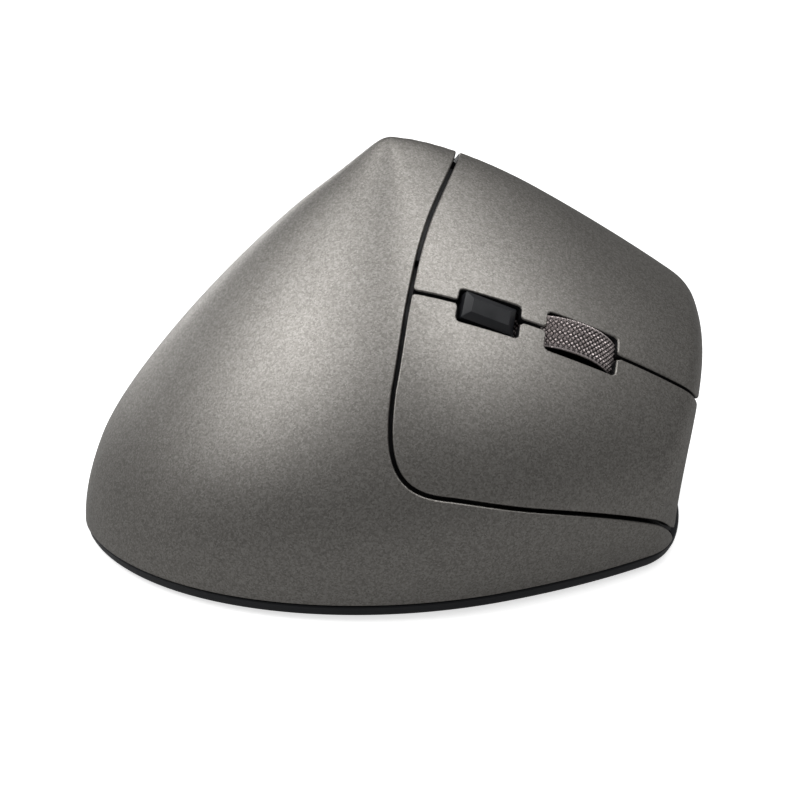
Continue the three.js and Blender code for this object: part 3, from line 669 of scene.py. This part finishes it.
def groove_wave(position):
    """How deep a V groove is along a row of knurls, 1 in the groove and 0 on the flat crest."""
    crest_share = 0.2
    from_crest = np.abs(position - np.round(position)) * 2
    return np.clip((from_crest - crest_share) / (1 - crest_share), 0, 1)


def ring_faces(count, wide, rows):
    """Faces from each given ring to the next of count rings, each wide vertices around."""
    faces = []
    for ring in rows:
        above = (ring + 1) % count
        for k in range(wide):
            after = (k + 1) % wide
            faces.append([ring * wide + k, ring * wide + after,
                          above * wide + after, above * wide + k])
    return faces


def add_wheel():
    """A ring with two crossing families of helical grooves, a plain chamfer and a plain bore."""
    radius, half = WHEEL["radius"], WHEEL["width"] / 2
    around = round(2 * math.pi * radius / WHEEL["knurl"])
    wide = around * KNURL_STEPS["around_each"]
    turns = np.arange(wide) / wide
    knurled = np.linspace(WHEEL["chamfer"] - half, half - WHEEL["chamfer"], KNURL_STEPS["across"])
    across, turn = np.meshgrid(knurled, turns, indexing="ij")
    twist = across / WHEEL["knurl"]
    depth = np.maximum(groove_wave(turn * around + twist), groove_wave(turn * around - twist))
    radii = radius - WHEEL["groove"] * depth - WHEEL["crown"] * (across / half) ** 2
    flat = np.ones(wide)
    bore = radius - WHEEL["rim"]
    lower = [(-half * flat, bore * flat), (-half * flat, (radius - 2 * WHEEL["chamfer"]) * flat),
             ((WHEEL["side_land"] - half) * flat, (radius - WHEEL["chamfer"]) * flat)]
    upper = [(-offset, reach) for offset, reach in reversed(lower)]
    rings = lower + list(zip(across, radii)) + upper
    angle = turns * 2 * math.pi
    points = []
    for offset, reach in rings:
        points.append(wheel_centre + offset[:, None] * q_axis
                      + (reach * np.cos(angle))[:, None] * p_axis
                      + (reach * np.sin(angle))[:, None] * n_axis)
    faces = ring_faces(len(rings), wide, range(len(rings)))
    wheel = mesh_object("knurled_wheel", np.vstack(points), faces)
    # The groove depth, stored for the knurl material's painted shade and highlight; the flat sides and the bore
    # are set to full depth, so they come out near black too.
    groove = np.zeros((len(rings), wide))
    groove[len(lower):-len(upper)] = depth
    groove[:len(lower) - 1] = groove[1 - len(upper):] = 1
    shade = wheel.data.attributes.new("groove", "FLOAT", "POINT")
    shade.data.foreach_set("value", groove.ravel())
    tidy_normals(wheel, 25)
    finish(wheel, "scroll_wheel", "wheel_metal", KNURL, "scroll_wheel")


def tidy_normals(obj, angle):
    """Points every face outwards and keeps only edges sharper than the angle, in degrees, sharp."""
    mesh = bmesh.new()
    mesh.from_mesh(obj.data)
    bmesh.ops.recalc_face_normals(mesh, faces=mesh.faces)
    mesh.to_mesh(obj.data)
    mesh.free()
    obj.data.set_sharp_from_angle(angle=math.radians(angle))


def bevelled(obj, width, segments=3, angle=30):
    bevel = obj.modifiers.new("rounded_edges", "BEVEL")
    bevel.width = width * MM
    bevel.segments = segments
    bevel.limit_method = "ANGLE"
    bevel.angle_limit = math.radians(angle)
    bevel.harden_normals = True
    return obj


def rounded_rectangle(x, y, length, width, corner, steps=8):
    outline = []
    for quarter, (sx, sy) in enumerate(((1, 1), (-1, 1), (-1, -1), (1, -1))):
        for step in range(steps + 1):
            angle = (quarter + step / steps) * math.pi / 2
            outline.append((x + sx * (length / 2 - corner) + corner * math.cos(angle),
                            y + sy * (width / 2 - corner) + corner * math.sin(angle)))
    return np.array(outline)


def circle(x, y, radius, steps=48):
    angle = np.arange(steps) / steps * 2 * math.pi
    return np.stack([x + radius * np.cos(angle), y + radius * np.sin(angle)], axis=1)


def loft(name, rings, angle=25):
    """A closed solid through rings of equal length, with flat ends."""
    wide = len(rings[0])
    faces = [[*range(wide)][::-1], [*range((len(rings) - 1) * wide, len(rings) * wide)]]
    faces += ring_faces(len(rings), wide, range(len(rings) - 1))
    obj = mesh_object(name, np.vstack(rings), faces)
    tidy_normals(obj, angle)
    return obj


def prism(name, outline, bottom, top):
    rings = [np.column_stack([outline, np.full(len(outline), z)]) for z in (bottom, top)]
    return loft(name, rings)


# Each row of the profile is a height from the cap's top, an inset from its side and a corner radius.
DPI_CAP = {"length": DPI_SLOT["length"] - 1.5, "width": DPI_SLOT["width"] - 1.4, "proud": 0.55,
           "profile": ((-3.0, 0, 0.35), (-0.9, 0, 0.35), (-0.84, 0.06, 0.3), (0, 1.3, 0.1)),
           "crease": 12}


def add_dpi_button():
    """A cap whose four wide facets rise to a long flat top."""
    p, q = DPI_SLOT["p"], DPI_SLOT["q"]
    top = surface_height(p, q) + DPI_CAP["proud"]
    rings = []
    for height, inset, corner in DPI_CAP["profile"]:
        outline = rounded_rectangle(0, 0, DPI_CAP["length"] - 2 * inset,
                                    DPI_CAP["width"] - 2 * inset, corner, 4)
        rings.append(np.array([finger_point(p + a, q + b, top + height) for a, b in outline]))
    button = bevelled(loft("dpi_cap", rings, DPI_CAP["crease"]), 0.08, 2, DPI_CAP["crease"])
    finish(button, "dpi_button", "gloss_black", GLOSS, "dpi_button")


# ---------------------------------------------------------------- base and underside

BASE = {"bottom": 0.6, "top": 2.6}
# The tray from its top to its bottom: heights, and insets from the outline at the shells' foot.
TRAY_PROFILE = ((BASE["top"], 2.6), (BASE["top"], 0.55), (2.35, 0.4), (1.5, 0.6), (0.95, 0.9),
                (0.68, 1.2), (BASE["bottom"], 1.6))
RECESS_GAP = 0.3
DOOR = {"x": 12, "y": -10, "width": 16.4, "length": 53.4, "corner": 2, "lowered": 0.4}
DOOR_RIDGES = {"count": 5, "y": 15, "pitch": 1.8, "length": 9, "width": 0.8, "top": 0.95}
RECEIVER = {"x": -13, "y": -34, "width": 14.4, "length": 19, "gap": 0.4, "corner": 0.8}
SENSOR = {"x": -10, "y": 8, "radius": 3}
SCREW = {"head": 2.5, "head_top": 2.2, "shank": 1.4}
SCREW_PLACES = ((15, -43.5), (-16, -49), (-10.5, 43), (31, 16.5))
FOOT = {"top": 0.95, "recess_top": 1.25}
FEET = {"front_foot": (6, 41.5, 22, 5), "rear_foot": (-1, -49, 18, 5),
        "thumb_foot": (-25.5, -3, 5, 22), "finger_foot": (32, 0, 5, 22)}
POWER_SLOT = (22, 29, 3.6, 7)


def slice_outline(z, inset, steps=320):
    """The body's outline at height z, pulled in by inset."""
    angle = np.arange(steps) / steps * 2 * math.pi
    rays = np.stack([np.cos(angle), np.sin(angle), np.zeros(steps)], axis=1)
    start = np.array([HEART[0], HEART[1], z])
    inside, outside = np.zeros(steps), np.full(steps, 100.0)
    for _ in range(30):
        middle = (inside + outside) / 2
        within = body_field(start + rays * middle[:, None]) < 0
        inside, outside = np.where(within, middle, inside), np.where(within, outside, middle)
    edge = start + rays * inside[:, None]
    across = np.roll(edge, -1, axis=0) - np.roll(edge, 1, axis=0)
    outward = unit(np.stack([across[:, 1], -across[:, 0], np.zeros(steps)], axis=1))
    return edge - outward * inset


def cut_with(obj, cutters):
    """Takes the cutters out of the object and applies the result."""
    for cutter in cutters:
        boolean = obj.modifiers.new("cut", "BOOLEAN")
        boolean.operation = "DIFFERENCE"
        boolean.solver = "EXACT"
        boolean.object = cutter
    bpy.context.view_layer.update()
    evaluated = obj.evaluated_get(bpy.context.evaluated_depsgraph_get())
    data = bpy.data.meshes.new_from_object(evaluated)
    obj.modifiers.clear()
    obj.data = data
    for cutter in cutters:
        bpy.data.objects.remove(cutter)
    obj.data.set_sharp_from_angle(angle=math.radians(25))


def through_cutter(name, outline):
    """A cutter that goes right through the tray."""
    return prism(name, outline, 0, 4)


def underside_cutters():
    gap = 2 * RECESS_GAP
    door = rounded_rectangle(DOOR["x"], DOOR["y"], DOOR["width"] + gap, DOOR["length"] + gap,
                             DOOR["corner"])
    pocket = rounded_rectangle(RECEIVER["x"], RECEIVER["y"], RECEIVER["width"] + 2 * RECEIVER["gap"],
                               RECEIVER["length"] + 2 * RECEIVER["gap"], RECEIVER["corner"])
    sensor = circle(SENSOR["x"], SENSOR["y"], SENSOR["radius"])
    cutters = [through_cutter("cut_door", door), through_cutter("cut_pocket", pocket),
               through_cutter("cut_sensor", sensor),
               through_cutter("cut_power", rounded_rectangle(*POWER_SLOT, 0.4))]
    for x, y, length, width in FEET.values():
        outline = rounded_rectangle(x, y, length + gap, width + gap, min(length, width) / 2 + 0.1)
        cutters.append(prism("cut_foot", outline, 0, FOOT["recess_top"]))
    for x, y in SCREW_PLACES:
        cutters.append(prism("cut_screw_head", circle(x, y, SCREW["head"]), 0, SCREW["head_top"]))
        cutters.append(through_cutter("cut_screw", circle(x, y, SCREW["shank"])))
    return cutters


def add_base():
    """The tray the mouse stands on: an undercut rim and a flat underside with its recesses."""
    rings = []
    for z, inset in TRAY_PROFILE:
        ring = slice_outline(SHELL_FOOT, inset)
        ring[:, 2] = z
        rings.append(ring)
    base = loft("base_tray", rings, 40)
    cut_with(base, underside_cutters())
    finish(base, "body", "black_plastic", RIM, "base_plate")


def add_feet():
    for name, (x, y, length, width) in FEET.items():
        outline = rounded_rectangle(x, y, length, width, min(length, width) / 2 - 0.1)
        foot = bevelled(prism(name + "_pad", outline, 0, FOOT["top"]), 0.25)
        finish(foot, "body", "foot_slip", GLIDE, name)


def add_battery_door():
    """A flat door with a patch of finger ridges."""
    outline = rounded_rectangle(DOOR["x"], DOOR["y"], DOOR["width"], DOOR["length"], DOOR["corner"])
    door = prism("battery_hatch", outline, BASE["bottom"], BASE["top"] - DOOR["lowered"])
    ridges = []
    for ridge in range(DOOR_RIDGES["count"]):
        y = DOOR["y"] + DOOR_RIDGES["y"] + ridge * DOOR_RIDGES["pitch"]
        groove = rounded_rectangle(DOOR["x"], y, DOOR_RIDGES["length"], DOOR_RIDGES["width"], 0.35)
        ridges.append(prism("cut_ridge", groove, 0, DOOR_RIDGES["top"]))
    cut_with(door, ridges)
    bevelled(door, 0.15, 2)
    finish(door, "battery_door", "black_plastic", BLACK, "battery_door")


# ---------------------------------------------------------------- parts the frame keeps

SLOT_MATERIALS = {"grey_paint": PAINT, "black_plastic": BLACK, "gloss_black": GLOSS, "grip": GRIP,
                  "wheel_metal": KNURL, "white_plastic": WHITE, "circuit": CIRCUIT, "steel": STEEL,
                  "brass": BRASS, "clear": LENS, "battery_sleeve": SLEEVE, "ribbon": RIBBON,
                  "foot_slip": GLIDE}


def finish_frame_parts():
    """The frame's own parts keep their shape and get their slot's material and smooth shading."""
    for part in frame["record"]["subparts"]:
        node = nodes[part["node"]]
        if node.hide_render:
            continue
        node.data.materials.clear()
        node.data.materials.append(SLOT_MATERIALS[part["material_slot"]])
        node.data.polygons.foreach_set("use_smooth", [True] * len(node.data.polygons))
        node.data.set_sharp_from_angle(angle=math.radians(32))


# ---------------------------------------------------------------- floor, light and camera

# The camera stands at the distance from the form's origin and looks a little past it.
CAMERA = {"azimuth": 68, "elevation": 25, "distance": 517, "lens": 125.1, "sensor": 36,
          "aim_right": -2.92, "aim_up": 22.056}
FLOOR_SIZE = 6000
LIGHT_DISTANCE = 0.6
LIGHT_AIM = (0, 0, 0.03)


def add_floor():
    """A pale floor, bright to the camera, dim in reflections and clear from below."""
    corners = np.array([(-1, -1, 0), (1, -1, 0), (1, 1, 0), (-1, 1, 0)]) * FLOOR_SIZE / 2
    floor = mesh_object("floor", corners, [[0, 1, 2, 3]])
    shader = Shader("floor_paper", (0.3, 0.3, 0.3), 0.9)
    seen = shader.node("LightPath").outputs["Is Camera Ray"]
    color = shader.colours(seen, (0.0, (0.25, 0.25, 0.25)), (1.0, (0.9, 0.9, 0.9)))
    shader.surface.inputs["Emission Color"].default_value = (1, 1, 1, 1)
    glow = shader.spread(seen, 0.12, 0.7, 0, 1)
    below = shader.node("NewGeometry").outputs["Backfacing"]
    above = shader.spread(below, 1, 0, 0, 1)
    floor.data.materials.append(shader.join(Base_Color=color, Emission_Strength=glow, Alpha=above))


def add_light(name, direction, size, power):
    """A soft box on the given side of the mouse, facing it. Sizes are in metres, power in watts."""
    light = bpy.data.lights.new(name, "AREA")
    light.shape = "RECTANGLE"
    light.size, light.size_y = size
    light.energy = power
    obj = bpy.data.objects.new(name, light)
    bpy.context.scene.collection.objects.link(obj)
    obj.location = Vector(direction).normalized() * LIGHT_DISTANCE + Vector(LIGHT_AIM)
    obj.rotation_mode = "QUATERNION"
    obj.rotation_quaternion = Vector(direction).to_track_quat("Z", "Y")


def add_world():
    """A white background to the camera that lights the mouse as a dim grey one."""
    world = bpy.data.worlds.new("studio")
    bpy.context.scene.world = world
    world.use_nodes = True
    world_nodes, links = world.node_tree.nodes, world.node_tree.links
    background = world_nodes["Background"]
    path = world_nodes.new("ShaderNodeLightPath")
    mix = world_nodes.new("ShaderNodeMixRGB")
    mix.inputs["Color1"].default_value = (0.175, 0.175, 0.175, 1)
    mix.inputs["Color2"].default_value = (1, 1, 1, 1)
    links.new(path.outputs["Is Camera Ray"], mix.inputs["Fac"])
    links.new(mix.outputs["Color"], background.inputs["Color"])


def add_camera():
    azimuth, elevation = math.radians(CAMERA["azimuth"]), math.radians(CAMERA["elevation"])
    back = Vector((math.sin(azimuth) * math.cos(elevation), -math.cos(azimuth) * math.cos(elevation),
                   math.sin(elevation)))
    right = Vector((math.cos(azimuth), math.sin(azimuth), 0))
    up = back.cross(right)
    data = bpy.data.cameras.new("camera")
    data.lens, data.sensor_width = CAMERA["lens"], CAMERA["sensor"]
    camera = bpy.data.objects.new("camera", data)
    bpy.context.scene.collection.objects.link(camera)
    camera.location = back * (CAMERA["distance"] * MM) - Vector(BOX_CENTRE * MM)
    sight = right * CAMERA["aim_right"] + up * CAMERA["aim_up"] - back * CAMERA["distance"]
    camera.rotation_mode = "QUATERNION"
    camera.rotation_quaternion = sight.to_track_quat("-Z", "Y")
    data.clip_start = 0.01
    bpy.context.scene.camera = camera


def add_studio():
    add_floor()
    add_world()
    add_light("rear_softbox", (-0.2, -0.6, 0.77), (0.4, 0.4), 1.85)
    add_light("front_softbox", (0.16, 0.25, 0.95), (0.35, 0.45), 1.75)
    add_light("rim_softbox", (-0.96, -0.1, 0.14), (0.5, 0.12), 0.8)
    add_camera()
    bpy.context.scene.view_settings.view_transform = "Standard"


add_shells()
add_wheel()
add_dpi_button()
add_base()
add_feet()
add_battery_door()
finish_frame_parts()
add_studio()

bpy.context.view_layer.update()
